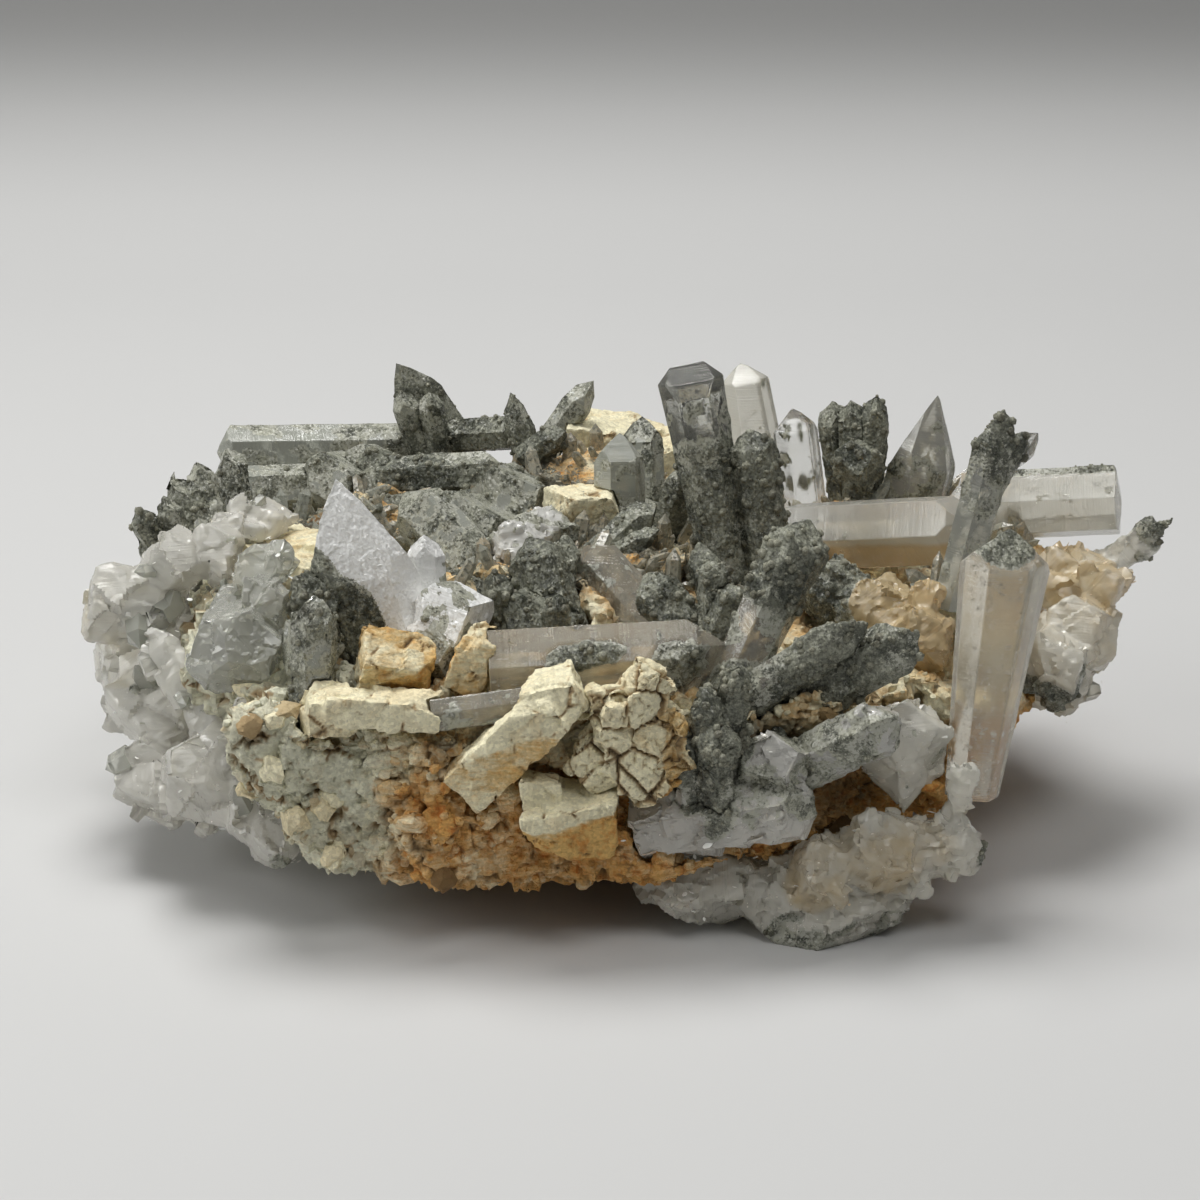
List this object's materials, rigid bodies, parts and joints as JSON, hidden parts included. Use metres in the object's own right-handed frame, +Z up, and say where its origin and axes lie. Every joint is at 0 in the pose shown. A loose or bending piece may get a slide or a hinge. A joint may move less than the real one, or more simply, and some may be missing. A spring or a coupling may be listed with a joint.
{
  "type": "chlorite quartz crystal cluster",
  "caption": "Mineral cluster: clear and milky quartz crystals, many coated with green-grey chlorite, grown on a slab of altered feldspar rock with a flat spot underneath.",
  "frame": {"origin": "middle of the bounding box, at the bottom, where the cluster stands", "axes": "+X towards the end with the clear upright prism, +Y away from the broken rock face, +Z up"},
  "size_m": [0.1878, 0.1172, 0.0836],
  "materials": {
    "host_rock": "rough, crumbly, iron-stained ochre and brown",
    "feldspar": "matte cream, finely cracked",
    "milky_quartz": "translucent white, broken and glossy",
    "clear_quartz": "clear and glossy, with flat faces",
    "chlorite_quartz": "matte granular green-grey coating over quartz"
  },
  "bodies": {
    "root": {"back_blade_and_spikes": "chlorite_quartz", "back_dark_prism": "chlorite_quartz", "back_feldspar_knob": "feldspar", "back_left_long_prism": "chlorite_quartz", "back_left_near_prism": "chlorite_quartz", "back_pale_crystal": "clear_quartz", "back_right_blade": "clear_quartz", "back_right_clear_crystal": "clear_quartz", "back_right_coated_tips": "chlorite_quartz", "back_right_pyramid": "clear_quartz", "block_crystal": "clear_quartz", "boulder_crystals": "milky_quartz", "brown_tinted_crystal": "clear_quartz", "clear_prism": "clear_quartz", "feldspar_bar": "feldspar", "feldspar_brick": "feldspar", "feldspar_ledge": "feldspar", "feldspar_patch": "feldspar", "feldspar_rubble": "feldspar", "fin_crystal": "milky_quartz", "front_coated_group": "chlorite_quartz", "front_crystals": "chlorite_quartz", "left_clear_crystal": "clear_quartz", "left_quartz": "milky_quartz", "left_rim_tips": "chlorite_quartz", "left_spike": "chlorite_quartz", "long_prism": "clear_quartz", "lower_right_quartz": "milky_quartz", "middle_feldspar_knob": "feldspar", "middle_left_crystal": "chlorite_quartz", "middle_needles": "chlorite_quartz", "middle_sugar_lumps": "milky_quartz", "middle_tall_crystals": "chlorite_quartz", "rear_spire": "chlorite_quartz", "right_coated_wall": "chlorite_quartz", "right_stained_quartz": "milky_quartz", "rock": "host_rock", "small_broad_crystal": "clear_quartz", "sparkling_crystals": "chlorite_quartz", "spear_crystal": "chlorite_quartz", "speckled_lump": "milky_quartz", "tall_crystal_pair": "chlorite_quartz", "tan_block_left": "feldspar", "tan_block_right": "feldspar"}
  },
  "joints": []
}
